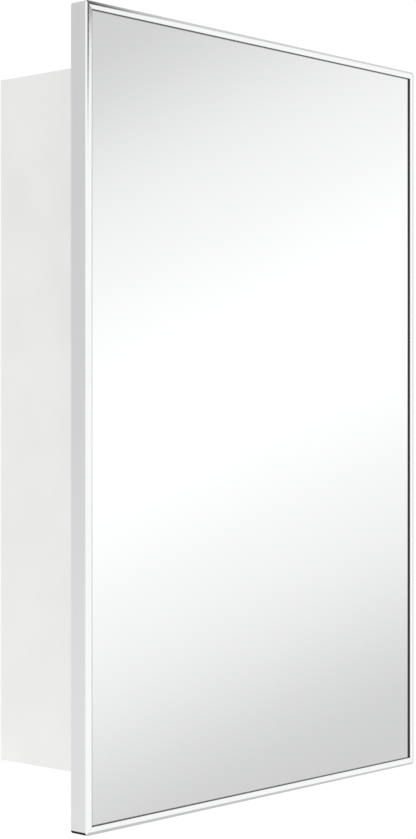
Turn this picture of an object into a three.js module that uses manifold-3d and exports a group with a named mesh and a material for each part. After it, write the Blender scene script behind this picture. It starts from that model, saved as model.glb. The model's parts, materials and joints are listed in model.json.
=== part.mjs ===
// Medicine cabinet: a sheet-steel box with a framed mirror door on a continuous hinge.
// Millimetres. +X is to the right, +Y goes into the wall, +Z is up.
// The origin is the middle of the wall face, which is the outside of the back panel.
import * as THREE from 'three';
import { mergeVertices } from 'three/addons/utils/BufferGeometryUtils.js';
import Module from 'manifold-3d';

const wasm = await Module();
wasm.setup();

// ---- driving dimensions ----
const DOOR_WIDTH = 406;
const DOOR_HEIGHT = 610;
const TOTAL_DEPTH = 133.7;
const DOOR_OVERHANG = 37.3; // how far the door stands past the box on every side
const DOOR_RISE = 1.5; // how much higher than the box the door hangs
const SHEET = 1.2;
const LIP = 14; // width of the folded lip round the mouth of the box
const WELD_FLANGE = 10;
const FIT_GAP = 0.1; // between pieces that lie against each other

// door frame channel, and what it holds, as depths behind the front of the door
const FRAME_DEPTH = 16;
const FRAME_FACE = 6.1;
const FRAME_WALL = 1.2;
// the face falls away from its inner edge to its outer one: how far in, and how far back
const FACE_LINE = [[0, 1.05], [0.12, 0.8], [0.3, 0.68], [1.6, 0.37], [2.9, 0.19], [FRAME_FACE - 0.3, 0]];
const BACK_EASE = 0.5;
const RETURN_LIP = 8;
const MIRROR_RECESS = 1.5;
const MIRROR_THICK = 4;
const BEAD_WIDTH = 0.4; // of the black bead between the frame and the mirror
const BEAD_RECESS = 0.3;
const CHANNEL_PLAY = 0.4; // between the channel's outer wall and the sheets it holds
const PAN_THICK = 0.8;
const PAN_BACK = FRAME_DEPTH - FRAME_WALL; // back of the door's steel pan
const PAN_FIELD_HALF = [135, 235]; // raised field of the pan
const PAN_FIELD_RISE = 1.5;

// continuous hinge
const KNUCKLE_RADIUS = 2.2;
const PIN_RADIUS = 1.05;
const PIN_CLEARANCE = 0.06;
const LEAF_THICK = 0.9;
const LEAF_WIDTH = 20;
const LEAF_RELIEF = 0.4; // between a leaf and the other leaf's knuckles
const PIVOT_INSET = 30; // from the door's right edge to the pin
const KNUCKLE_PITCH = 25;
const KNUCKLE_COUNT = 21;
const KNUCKLE_GAP = 0.4;
const PIN_OVERRUN = 2;

// screws
const SHANK_RADIUS = 1.6;
const SCREW_HOLE = 1.8;
const HEAD_RADIUS = 3.2;
const HEAD_HEIGHT = 0.9;
const HINGE_SCREW_PITCH = 120;
const HINGE_SCREW_COUNT = 5;
const HINGE_SCREW_INSET = 13.5; // from the pin

// shelves and what carries them
const SHELF_THICK = 5;
const SHELF_FRONT = 102; // from the wall
const SHELF_BACK = 4;
const STANDARD_WIDTH = 12;
const STANDARD_DEPTH = 2.9;
const STANDARD_WALL = 0.8;
const STANDARD_PLACES = { back: 18, front: 86 }; // from the wall to the strip's middle
const SLOT_PITCH = 25;
const SLOT_COUNT = 19;
const SLOT_SIZE = [3.2, 8];
const SHELF_SLOTS = { lower: 5, upper: 12 }; // which slot, from the bottom, takes the clips
const CLIP_WIDTH = 10;
const CLIP_THICK = 1.2;
const CLIP_REACH = 12;
const CLIP_HEIGHT = 12;
const CLIP_RISE = 9; // from the middle of the slot to the underside of the shelf
const HOOK_SIZE = [2.6, 6];

// hanging, catch and bumpers
const HANG_X = 105;
const KEYHOLE_Z = 205;
const KEYHOLE_HEAD = 4.8;
const KEYHOLE_NECK = 2.6;
const KEYHOLE_RISE = 12;
const LOWER_HOLE_Z = -220;
const LOWER_HOLE = 3.25;
const RAIL_HALF_LENGTH = 140;
const RAIL_SPAN = [196, 228];
const RAIL_THICK = 2;
const CATCH_HALF_WIDTH = 5.8;
const CATCH_EAR_HALF = 31;
const CATCH_EAR_THICK = 4;
const CATCH_CORE_HALF = 17;
const CATCH_CORE_DEPTH = 15.4;
const MAGNET_HALF = [3.5, 11];
const MAGNET_DEPTH = 14.8;
const MAGNET_PLAY = 0.15;
const CATCH_SCREW_Z = 24;
const STRIKE_HALF = [7, 24];
const STRIKE_THICK = 1.2;
const STRIKE_SCREW_Z = 18;
const BUMPER_RADIUS = 4;
const BUMPER_CHAMFER = 1;

// door inside
const FILLER_HALF = [147, 290];
const KEY_ARM = 45;
const KEY_WIDTH = 9;
const KEY_THICK = 2;
const STIFFENER_WIDTH = 22;
const STIFFENER_THICK = 3;
const STIFFENER_HALF_HEIGHT = 262;

// ---- places worked out from those ----
const FRONT = -TOTAL_DEPTH; // y of the front of the door
const PAN_BACK_Y = FRONT + PAN_BACK;
const BODY_HALF_X = DOOR_WIDTH / 2 - DOOR_OVERHANG;
const BODY_HALF_Z = DOOR_HEIGHT / 2 - DOOR_OVERHANG;
const LEAF_SEAT = FIT_GAP / 2;
const HINGE_GAP = 2 * KNUCKLE_RADIUS + 2 * LEAF_SEAT;
const MOUTH_Y = PAN_BACK_Y + HINGE_GAP; // front face of the lip round the mouth
const LIP_BACK_Y = MOUTH_Y + SHEET;
const INNER_X = BODY_HALF_X - SHEET;
const INNER_Z = BODY_HALF_Z - SHEET;
const LIP_EDGE_X = BODY_HALF_X - LIP;
const LIP_EDGE_Z = BODY_HALF_Z - LIP;
const PIVOT_X = DOOR_WIDTH / 2 - PIVOT_INSET;
const PIVOT_Y = PAN_BACK_Y + LEAF_SEAT + KNUCKLE_RADIUS;
const STANDARD_FACE_X = INNER_X - FIT_GAP - STANDARD_DEPTH;
const CATCH_X = -(BODY_HALF_X - 8);

// ---- materials ----
function finish(colour, roughness, metalness, extra = {}) {
  return new THREE.MeshStandardMaterial({ color: colour, roughness, metalness, ...extra });
}
const whitePaint = finish('#e8e8e6', 0.4, 0);
const chrome = finish('#d4d6d8', 0.12, 1);
const silvering = finish('#eef1f2', 0.02, 1);
const shelfGlass = finish('#d8e6e0', 0.05, 0, { transparent: true, opacity: 0.35 });
const zincSteel = finish('#b9bcbf', 0.4, 1);
const ferrite = finish('#3c3c3e', 0.6, 0.4);
const rubber = finish('#d9d9d6', 0.8, 0);
const blackRubber = finish('#0b0b0c', 0.35, 0);
const whitePlastic = finish('#e4e4e0', 0.55, 0);
const fibreboard = finish('#8a7a62', 0.9, 0);

// ---- solids ----
function toSolid(geometry) {
  geometry.deleteAttribute('normal');
  geometry.deleteAttribute('uv');
  const merged = mergeVertices(geometry, 1e-5);
  return new wasm.Manifold(new wasm.Mesh({
    numProp: 3,
    vertProperties: new Float32Array(merged.attributes.position.array),
    triVerts: new Uint32Array(merged.index.array),
  }));
}

function block([xa, xb], [ya, yb], [za, zb]) {
  const box = new THREE.BoxGeometry(Math.abs(xb - xa), Math.abs(yb - ya), Math.abs(zb - za));
  box.translate((xa + xb) / 2, (ya + yb) / 2, (za + zb) / 2);
  return toSolid(box);
}

// a round bar along Y or Z, from one coordinate to another
function barAlongY(radius, x, z, [ya, yb], sides = 16) {
  const bar = new THREE.CylinderGeometry(radius, radius, Math.abs(yb - ya), sides);
  bar.translate(x, (ya + yb) / 2, z);
  return toSolid(bar);
}

function barAlongZ(radius, x, y, [za, zb], sides = 16) {
  const bar = new THREE.CylinderGeometry(radius, radius, Math.abs(zb - za), sides);
  bar.rotateX(Math.PI / 2);
  bar.translate(x, y, (za + zb) / 2);
  return toSolid(bar);
}

function joined(first, ...others) {
  return others.reduce((whole, piece) => whole.add(piece), first);
}

function cut(first, ...tools) {
  return tools.reduce((whole, tool) => whole.subtract(tool), first);
}

const cabinet = new THREE.Group();

function place(name, solid, material) {
  const { vertProperties, triVerts } = solid.getMesh();
  const geometry = new THREE.BufferGeometry();
  geometry.setAttribute('position', new THREE.BufferAttribute(vertProperties, 3));
  geometry.setIndex(new THREE.BufferAttribute(triVerts, 1));
  geometry.computeVertexNormals();
  const mesh = new THREE.Mesh(geometry, material);
  mesh.name = name;
  cabinet.add(mesh);
}

function rowOf(count, pitch) {
  return Array.from({ length: count }, (_, i) => (i - (count - 1) / 2) * pitch);
}

// A pan-head screw along Y: headY is where its head rests, and it points along toward (+1 or -1).
function screw(x, z, headY, toward, length) {
  const profile = [
    [0, -HEAD_HEIGHT], [HEAD_RADIUS * 0.6, -HEAD_HEIGHT], [HEAD_RADIUS, -HEAD_HEIGHT * 0.4],
    [HEAD_RADIUS, 0], [SHANK_RADIUS, 0], [SHANK_RADIUS, length - 1], [0, length],
  ];
  const turned = new THREE.LatheGeometry(profile.map(([r, y]) => new THREE.Vector2(r, y)), 12);
  if (toward < 0) turned.rotateX(Math.PI);
  turned.translate(x, headY, z);
  return toSolid(turned);
}

const hingeScrewZ = rowOf(HINGE_SCREW_COUNT, HINGE_SCREW_PITCH);
const hingeScrewX = PIVOT_X - HINGE_SCREW_INSET;

function hingeScrewHoles(span) {
  return hingeScrewZ.map((z) => barAlongY(SCREW_HOLE, hingeScrewX, z, span));
}

// ---- the box ----
function sidePanel(side) {
  const wall = block([side * BODY_HALF_X, side * INNER_X], [0, MOUTH_Y], [-BODY_HALF_Z, BODY_HALF_Z]);
  const lipEnd = INNER_Z - FIT_GAP;
  const lip = block([side * BODY_HALF_X, side * LIP_EDGE_X], [MOUTH_Y, LIP_BACK_Y], [-lipEnd, lipEnd]);
  return wall.add(lip);
}

function endPanel(side) {
  const width = INNER_X - FIT_GAP;
  const lipWidth = LIP_EDGE_X - FIT_GAP;
  const plate = block([-width, width], [0, MOUTH_Y], [side * BODY_HALF_Z, side * INNER_Z]);
  const lip = block([-lipWidth, lipWidth], [MOUTH_Y, LIP_BACK_Y], [side * BODY_HALF_Z, side * LIP_EDGE_Z]);
  const flanges = [-1, 1].map((end) => block([end * width, end * (width - SHEET)],
    [-STANDARD_WIDTH, LIP_BACK_Y + WELD_FLANGE], [side * BODY_HALF_Z, side * (INNER_Z - WELD_FLANGE)]));
  return joined(plate, lip, ...flanges);
}

// the hole for a wall screw: its head goes in at the bottom, and its neck slides up the slot
function keyhole(x, span) {
  const top = KEYHOLE_Z + KEYHOLE_RISE;
  return joined(
    barAlongY(KEYHOLE_HEAD, x, KEYHOLE_Z, span, 24),
    block([x - KEYHOLE_NECK, x + KEYHOLE_NECK], span, [KEYHOLE_Z, top]),
    barAlongY(KEYHOLE_NECK, x, top, span, 24),
  );
}

function backPanel() {
  const halfX = INNER_X - FIT_GAP;
  const halfZ = INNER_Z - FIT_GAP;
  const sheet = block([-halfX, halfX], [0, -SHEET], [-halfZ, halfZ]);
  const flangeHalf = halfZ - WELD_FLANGE - FIT_GAP;
  const flanges = [-1, 1].map((side) => block([side * halfX, side * (halfX - SHEET)],
    [0, -SHEET - WELD_FLANGE + FIT_GAP], [-flangeHalf, flangeHalf]));
  const through = [1, -SHEET - 1];
  return cut(
    joined(sheet, ...flanges),
    ...[-HANG_X, HANG_X].map((x) => keyhole(x, through)),
    ...[-HANG_X, HANG_X].map((x) => barAlongY(LOWER_HOLE, x, LOWER_HOLE_Z, through, 24)),
  );
}

function hangingRail() {
  const front = -SHEET - FIT_GAP;
  const strip = block([-RAIL_HALF_LENGTH, RAIL_HALF_LENGTH], [front, front - RAIL_THICK], RAIL_SPAN);
  return cut(strip, ...[-HANG_X, HANG_X].map((x) => keyhole(x, [0, front - RAIL_THICK - 1])));
}

const catchWindow = block(
  [CATCH_X - MAGNET_HALF[0] - 2 * MAGNET_PLAY, CATCH_X + MAGNET_HALF[0] + 2 * MAGNET_PLAY],
  [MOUTH_Y - 1, LIP_BACK_Y + 1],
  [-MAGNET_HALF[1] - 2 * MAGNET_PLAY, MAGNET_HALF[1] + 2 * MAGNET_PLAY],
);
const catchScrewHoles = [-CATCH_SCREW_Z, CATCH_SCREW_Z].map((z) => barAlongY(
  SCREW_HOLE, CATCH_X, z, [MOUTH_Y - 1, LIP_BACK_Y + CATCH_EAR_THICK + 1]));

place('side_panel_left', cut(sidePanel(-1), catchWindow, ...catchScrewHoles), whitePaint);
place('side_panel_right', cut(sidePanel(1), ...hingeScrewHoles([MOUTH_Y - 1, LIP_BACK_Y + 1])), whitePaint);
place('top_panel', endPanel(1), whitePaint);
place('bottom_panel', endPanel(-1), whitePaint);
place('back_panel', backPanel(), whitePaint);
place('hanging_rail', hangingRail(), zincSteel);

// ---- shelf standards, clips and shelves ----
const slotZ = rowOf(SLOT_COUNT, SLOT_PITCH);
const slotEnd = slotZ[SLOT_COUNT - 1] + SLOT_PITCH / 2;

function standard(side, fromWall) {
  const back = side * (INNER_X - FIT_GAP);
  const face = side * STANDARD_FACE_X;
  const y = [-fromWall - STANDARD_WIDTH / 2, -fromWall + STANDARD_WIDTH / 2];
  const strip = block([face, back], y, [-slotEnd, slotEnd]);
  const hollow = block([face + side * STANDARD_WALL, back + side],
    [y[0] + STANDARD_WALL, y[1] - STANDARD_WALL], [-slotEnd - 1, slotEnd + 1]);
  const slots = slotZ.map((z) => block([face - side, face + side * 2 * STANDARD_WALL],
    [-fromWall - SLOT_SIZE[0] / 2, -fromWall + SLOT_SIZE[0] / 2],
    [z - SLOT_SIZE[1] / 2, z + SLOT_SIZE[1] / 2]));
  return cut(strip, hollow, ...slots);
}

function shelfClip(side, fromWall, slot) {
  const face = side * (STANDARD_FACE_X - FIT_GAP / 2);
  const top = slot + CLIP_RISE - FIT_GAP;
  const y = [-fromWall - CLIP_WIDTH / 2, -fromWall + CLIP_WIDTH / 2];
  const hookFoot = slot - SLOT_SIZE[1] / 2 + FIT_GAP;
  return joined(
    block([face, face - side * CLIP_THICK], y, [top - CLIP_HEIGHT, top]),
    block([face, face - side * CLIP_REACH], y, [top - CLIP_THICK, top]),
    block([face - side * CLIP_THICK, face + side * 2],
      [-fromWall - HOOK_SIZE[0] / 2, -fromWall + HOOK_SIZE[0] / 2], [hookFoot, hookFoot + HOOK_SIZE[1]]),
  );
}

const sides = { left: -1, right: 1 };
for (const [sideName, side] of Object.entries(sides)) {
  for (const [placeName, fromWall] of Object.entries(STANDARD_PLACES)) {
    place(`shelf_standard_${sideName}_${placeName}`, standard(side, fromWall), zincSteel);
    for (const [level, slot] of Object.entries(SHELF_SLOTS)) {
      const clip = shelfClip(side, fromWall, slotZ[slot]);
      place(`shelf_clip_${level}_${sideName}_${placeName}`, clip, zincSteel);
    }
  }
}
for (const [level, slot] of Object.entries(SHELF_SLOTS)) {
  const halfX = STANDARD_FACE_X - 3 * FIT_GAP;
  const underside = slotZ[slot] + CLIP_RISE;
  place(`shelf_${level}`,
    block([-halfX, halfX], [-SHELF_BACK, -SHELF_FRONT], [underside, underside + SHELF_THICK]), shelfGlass);
}

// ---- magnetic catch ----
function catchHousing() {
  const front = LIP_BACK_Y + FIT_GAP;
  const x = [CATCH_X - CATCH_HALF_WIDTH, CATCH_X + CATCH_HALF_WIDTH];
  const pocketX = MAGNET_HALF[0] + MAGNET_PLAY;
  const pocketZ = MAGNET_HALF[1] + MAGNET_PLAY;
  return cut(
    joined(
      block(x, [front, front + CATCH_EAR_THICK], [-CATCH_EAR_HALF, CATCH_EAR_HALF]),
      block(x, [front, front + CATCH_CORE_DEPTH], [-CATCH_CORE_HALF, CATCH_CORE_HALF]),
    ),
    block([CATCH_X - pocketX, CATCH_X + pocketX], [front - 1, magnetFront + MAGNET_DEPTH + MAGNET_PLAY],
      [-pocketZ, pocketZ]),
    ...catchScrewHoles,
  );
}

const strikeFace = PAN_BACK_Y + FIT_GAP / 2 + STRIKE_THICK;
const magnetFront = strikeFace + FIT_GAP;
place('catch_housing', catchHousing(), whitePlastic);
place('catch_magnet', block([CATCH_X - MAGNET_HALF[0], CATCH_X + MAGNET_HALF[0]],
  [magnetFront, magnetFront + MAGNET_DEPTH], [-MAGNET_HALF[1], MAGNET_HALF[1]]), ferrite);
for (const [name, z] of [['lower', -CATCH_SCREW_Z], ['upper', CATCH_SCREW_Z]]) {
  place(`catch_screw_${name}`, screw(CATCH_X, z, MOUTH_Y - LEAF_SEAT, 1, 7), zincSteel);
}

// ---- rubber bumpers between the box and the door ----
function bumper(x, z) {
  const height = HINGE_GAP - FIT_GAP;
  const profile = [
    [0, 0], [BUMPER_RADIUS - BUMPER_CHAMFER, 0], [BUMPER_RADIUS, BUMPER_CHAMFER],
    [BUMPER_RADIUS, height], [0, height],
  ];
  const button = new THREE.LatheGeometry(profile.map(([r, y]) => new THREE.Vector2(r, y)), 20);
  button.translate(x, PAN_BACK_Y + FIT_GAP / 2, z);
  return toSolid(button);
}

const lipMiddleX = BODY_HALF_X - LIP / 2;
const lipMiddleZ = BODY_HALF_Z - LIP / 2;
for (const [name, sign] of [['lower', -1], ['upper', 1]]) {
  place(`door_bumper_left_${name}`, bumper(-lipMiddleX, sign * (lipMiddleZ - LIP)), rubber);
  place(`door_bumper_middle_${name}`, bumper(0, sign * lipMiddleZ), rubber);
}

// ---- continuous hinge ----
const knuckleZ = rowOf(KNUCKLE_COUNT, KNUCKLE_PITCH);
const hingeEnd = KNUCKLE_COUNT * KNUCKLE_PITCH / 2;

// One leaf: a strip that ends clear of the pin, with every second knuckle joined to it.
function hingeLeaf(seatY, toward, firstKnuckle) {
  const y = [seatY, seatY + toward * LEAF_THICK];
  const stripEdge = PIVOT_X - KNUCKLE_RADIUS - LEAF_RELIEF;
  let leaf = block([PIVOT_X - LEAF_WIDTH, stripEdge], y, [-hingeEnd, hingeEnd]);
  for (let i = firstKnuckle; i < KNUCKLE_COUNT; i += 2) {
    const half = (KNUCKLE_PITCH - KNUCKLE_GAP) / 2;
    const z = [knuckleZ[i] - half, knuckleZ[i] + half];
    const tongue = block([stripEdge - 1, PIVOT_X], y, z);
    leaf = joined(leaf, tongue, barAlongZ(KNUCKLE_RADIUS, PIVOT_X, PIVOT_Y, z));
  }
  const boreRadius = (PIN_RADIUS + PIN_CLEARANCE) / Math.cos(Math.PI / 16);
  return cut(
    leaf,
    barAlongZ(boreRadius, PIVOT_X, PIVOT_Y, [-hingeEnd - 1, hingeEnd + 1]),
    ...hingeScrewHoles([seatY - toward, seatY + toward * 2 * LEAF_THICK]),
  );
}

const cabinetLeafY = MOUTH_Y - LEAF_SEAT;
const doorLeafY = PAN_BACK_Y + LEAF_SEAT;
place('hinge_leaf_cabinet', hingeLeaf(cabinetLeafY, -1, 0), zincSteel);
const pinReach = hingeEnd + PIN_OVERRUN;
place('hinge_pin', barAlongZ(PIN_RADIUS, PIVOT_X, PIVOT_Y, [-pinReach, pinReach]),
  zincSteel);
place('hinge_leaf_door', hingeLeaf(doorLeafY, 1, 1), zincSteel);
hingeScrewZ.forEach((z, i) => {
  const cabinetHead = cabinetLeafY - LEAF_THICK - LEAF_SEAT;
  const doorHead = doorLeafY + LEAF_THICK + LEAF_SEAT;
  place(`hinge_screw_cabinet_${i + 1}`, screw(hingeScrewX, z, cabinetHead, 1, 6), zincSteel);
  place(`hinge_screw_door_${i + 1}`, screw(hingeScrewX, z, doorHead, -1, 5), zincSteel);
});

// ---- door frame ----
// The channel's section: u runs inward from the door's edge, v runs back from its front.
function channelSection() {
  const w = FRAME_WALL;
  const c = BACK_EASE;
  const mirrorLip = MIRROR_RECESS - FIT_GAP;
  const points = [
    ...FACE_LINE, [FRAME_FACE, c * 0.6], [FRAME_FACE, mirrorLip], [w, mirrorLip],
    [w, FRAME_DEPTH - w], [RETURN_LIP, FRAME_DEPTH - w], [RETURN_LIP, FRAME_DEPTH],
    [c, FRAME_DEPTH], [0, FRAME_DEPTH - c],
  ];
  return new THREE.Shape(points.map(([u, v]) => new THREE.Vector2(u, v)));
}

// A length of channel with both ends mitred. along is the direction it runs and inward points to the glass.
function frameMember(length, inward, along, corner) {
  const extrusion = { depth: length, bevelEnabled: false, steps: 1 };
  const geometry = new THREE.ExtrudeGeometry(channelSection(), extrusion);
  const position = geometry.attributes.position;
  for (let i = 0; i < position.count; i += 1) {
    const mitre = position.getX(i) + FIT_GAP / 2;
    position.setZ(i, position.getZ(i) > length / 2 ? length - mitre : mitre);
  }
  geometry.applyMatrix4(new THREE.Matrix4().makeBasis(inward, new THREE.Vector3(0, 1, 0), along));
  geometry.translate(...corner);
  return toSolid(geometry);
}

const halfW = DOOR_WIDTH / 2;
const halfH = DOOR_HEIGHT / 2;
const doorSpan = (half) => [DOOR_RISE - half, DOOR_RISE + half];
const axis = (x, z) => new THREE.Vector3(x, 0, z);
const [doorBottom, doorTop] = doorSpan(halfH);
const frameMembers = {
  stile_left: frameMember(DOOR_HEIGHT, axis(1, 0), axis(0, 1), [-halfW, FRONT, doorBottom]),
  stile_right: frameMember(DOOR_HEIGHT, axis(-1, 0), axis(0, -1), [halfW, FRONT, doorTop]),
  rail_top: frameMember(DOOR_WIDTH, axis(0, -1), axis(1, 0), [-halfW, FRONT, doorTop]),
  rail_bottom: frameMember(DOOR_WIDTH, axis(0, 1), axis(-1, 0), [halfW, FRONT, doorBottom]),
};
for (const [name, solid] of Object.entries(frameMembers)) place(name, solid, chrome);

// ---- what the frame holds ----
const channelX = halfW - FRAME_WALL - CHANNEL_PLAY;
const channelZ = halfH - FRAME_WALL - CHANNEL_PLAY;
const mirrorBack = FRONT + MIRROR_RECESS + MIRROR_THICK;
const panFront = PAN_BACK_Y - FIT_GAP - PAN_THICK;

function backPan() {
  const sheet = block([-channelX, channelX], [panFront, panFront + PAN_THICK], doorSpan(channelZ));
  const field = block([-PAN_FIELD_HALF[0], PAN_FIELD_HALF[0]],
    [panFront, panFront + PAN_THICK + PAN_FIELD_RISE], doorSpan(PAN_FIELD_HALF[1]));
  const through = [panFront - 1, panFront + PAN_THICK + 1];
  const strikeHoles = [-STRIKE_SCREW_Z, STRIKE_SCREW_Z].map(
    (z) => barAlongY(SCREW_HOLE, CATCH_X, z, through));
  return cut(sheet.add(field), ...hingeScrewHoles(through), ...strikeHoles);
}

function hingeStiffener() {
  const x = [PIVOT_X - STIFFENER_WIDTH, PIVOT_X];
  const y = [panFront - FIT_GAP - STIFFENER_THICK, panFront - FIT_GAP];
  const bar = block(x, y, [-STIFFENER_HALF_HEIGHT, STIFFENER_HALF_HEIGHT]);
  return cut(bar, ...hingeScrewHoles([y[0] - 1, y[1] + 1]));
}

function cornerKey(sideX, sideZ) {
  const x = sideX * channelX;
  const z = DOOR_RISE + sideZ * channelZ;
  const y = [panFront - FIT_GAP - KEY_THICK, panFront - FIT_GAP];
  return joined(
    block([x, x - sideX * KEY_ARM], y, [z, z - sideZ * KEY_WIDTH]),
    block([x, x - sideX * KEY_WIDTH], y, [z, z - sideZ * KEY_ARM]),
  );
}

// the bead closes the joint between the frame's lip and the mirror, all the way round
function glazingBead() {
  const inside = (inset, y) => block([inset - halfW, halfW - inset], y, doorSpan(halfH - inset));
  const inset = FRAME_FACE + FIT_GAP / 2;
  return cut(
    inside(inset, [FRONT + BEAD_RECESS, FRONT + MIRROR_RECESS - FIT_GAP / 2]),
    inside(inset + BEAD_WIDTH, [FRONT, FRONT + MIRROR_RECESS]),
  );
}

place('glazing_bead', glazingBead(), blackRubber);
place('mirror_glass', block([-channelX, channelX], [FRONT + MIRROR_RECESS, mirrorBack], doorSpan(channelZ)),
  silvering);
place('door_filler', block([-FILLER_HALF[0], FILLER_HALF[0]], [mirrorBack + FIT_GAP, panFront - FIT_GAP],
  doorSpan(FILLER_HALF[1])), fibreboard);
place('door_back_pan', backPan(), whitePaint);
place('hinge_stiffener', hingeStiffener(), zincSteel);
for (const [vertical, sideZ] of [['lower', -1], ['upper', 1]]) {
  for (const [horizontal, sideX] of Object.entries(sides)) {
    place(`corner_key_${vertical}_${horizontal}`, cornerKey(sideX, sideZ), zincSteel);
  }
}

// ---- strike plate ----
const strikeHoles = [-STRIKE_SCREW_Z, STRIKE_SCREW_Z].map((z) => barAlongY(
  SCREW_HOLE, CATCH_X, z, [PAN_BACK_Y - 1, strikeFace + 1]));
place('strike_plate', cut(block([CATCH_X - STRIKE_HALF[0], CATCH_X + STRIKE_HALF[0]],
  [strikeFace - STRIKE_THICK, strikeFace], [-STRIKE_HALF[1], STRIKE_HALF[1]]), ...strikeHoles), zincSteel);
for (const [name, z] of [['lower', -STRIKE_SCREW_Z], ['upper', STRIKE_SCREW_Z]]) {
  place(`strike_screw_${name}`, screw(CATCH_X, z, strikeFace + LEAF_SEAT, -1, 5), zincSteel);
}

export default cabinet;
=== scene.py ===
"""The looks of a wall-hung medicine cabinet with a chrome-framed mirror door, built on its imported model."""
import json
import math

import bmesh
import bpy
from mathutils import Matrix, Vector

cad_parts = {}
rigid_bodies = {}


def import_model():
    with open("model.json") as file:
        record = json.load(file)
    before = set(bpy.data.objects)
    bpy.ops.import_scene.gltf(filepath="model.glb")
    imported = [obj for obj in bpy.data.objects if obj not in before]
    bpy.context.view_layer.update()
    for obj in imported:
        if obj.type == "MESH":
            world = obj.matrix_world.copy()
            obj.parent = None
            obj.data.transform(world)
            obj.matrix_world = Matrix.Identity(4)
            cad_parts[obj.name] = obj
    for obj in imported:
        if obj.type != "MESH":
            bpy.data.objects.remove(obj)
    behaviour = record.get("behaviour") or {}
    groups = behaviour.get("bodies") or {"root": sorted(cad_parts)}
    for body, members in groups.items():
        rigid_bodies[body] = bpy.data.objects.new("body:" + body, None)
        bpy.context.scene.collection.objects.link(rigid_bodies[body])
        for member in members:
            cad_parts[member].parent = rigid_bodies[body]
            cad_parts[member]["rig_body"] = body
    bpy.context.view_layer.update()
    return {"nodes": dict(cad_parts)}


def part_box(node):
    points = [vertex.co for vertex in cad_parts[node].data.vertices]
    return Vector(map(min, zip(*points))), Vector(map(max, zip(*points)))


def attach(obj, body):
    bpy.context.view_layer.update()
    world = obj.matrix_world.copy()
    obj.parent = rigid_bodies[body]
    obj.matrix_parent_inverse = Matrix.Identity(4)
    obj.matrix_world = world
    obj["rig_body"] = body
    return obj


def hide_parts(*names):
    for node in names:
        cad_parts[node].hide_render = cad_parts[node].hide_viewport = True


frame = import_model()

MM = 0.001
nodes = frame["nodes"]
scene = bpy.context.scene


# ---- node trees ----

class Socket:
    """An output of a node. Arithmetic on it adds Math nodes, so that a pattern reads as a formula."""

    def __init__(self, maker, output):
        self.maker = maker
        self.output = output

    def beside(self, name):
        return Socket(self.maker, self.output.node.outputs[name])

    def __add__(self, other):
        return self.maker.maths("ADD", self, other)

    def __sub__(self, other):
        return self.maker.maths("SUBTRACT", self, other)

    def __rsub__(self, other):
        return self.maker.maths("SUBTRACT", other, self)

    def __mul__(self, other):
        return self.maker.maths("MULTIPLY", self, other)

    def __truediv__(self, other):
        return self.maker.maths("DIVIDE", self, other)

    def __pow__(self, other):
        return self.maker.maths("POWER", self, other)

    def __gt__(self, other):
        return self.maker.maths("GREATER_THAN", self, other)

    def __lt__(self, other):
        return self.maker.maths("LESS_THAN", self, other)

    def __abs__(self):
        return self.maker.maths("ABSOLUTE", self)

    __radd__ = __add__
    __rmul__ = __mul__


class NodeMaker:
    """Adds nodes to a tree: settings first, then the values or links of the sockets."""

    def __init__(self, tree):
        self.tree = tree

    def node(self, kind, settings=None, inputs=None, output=0):
        made = self.tree.nodes.new(kind)
        for name, value in (settings or {}).items():
            if name == "stops":
                self.set_stops(made.color_ramp, value)
            else:
                setattr(made, name, value)
        for name, value in (inputs or {}).items():
            if isinstance(value, Socket):
                self.tree.links.new(value.output, made.inputs[name])
            else:
                made.inputs[name].default_value = value
        return Socket(self, made.outputs[output] if made.outputs else None)

    @staticmethod
    def set_stops(ramp, stops):
        while len(ramp.elements) < len(stops):
            ramp.elements.new(1)
        for element, (place, level) in zip(ramp.elements, stops):
            element.position = place
            element.color = (level, level, level, 1)

    def maths(self, operation, *values):
        settings = {"operation": operation}
        return self.node("ShaderNodeMath", settings, dict(enumerate(values)))

    def vector(self, x=0, y=0, z=0):
        return self.node("ShaderNodeCombineXYZ", None, {"X": x, "Y": y, "Z": z})

    def ramp(self, value, low, high):
        """0 where value is below low, 1 above high, and smooth between them."""
        settings = {"interpolation_type": "SMOOTHSTEP"}
        return self.node("ShaderNodeMapRange", settings, {0: value, 1: low, 2: high, 3: 0, 4: 1})

    def blend(self, factor, a, b):
        return self.node("ShaderNodeMix", {"data_type": "RGBA"}, {0: factor, 6: a, 7: b}, 2)


# ---- finishes ----

def grey(level, tint=(1, 1, 1)):
    return tuple(level * t for t in tint) + (1,)


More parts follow.
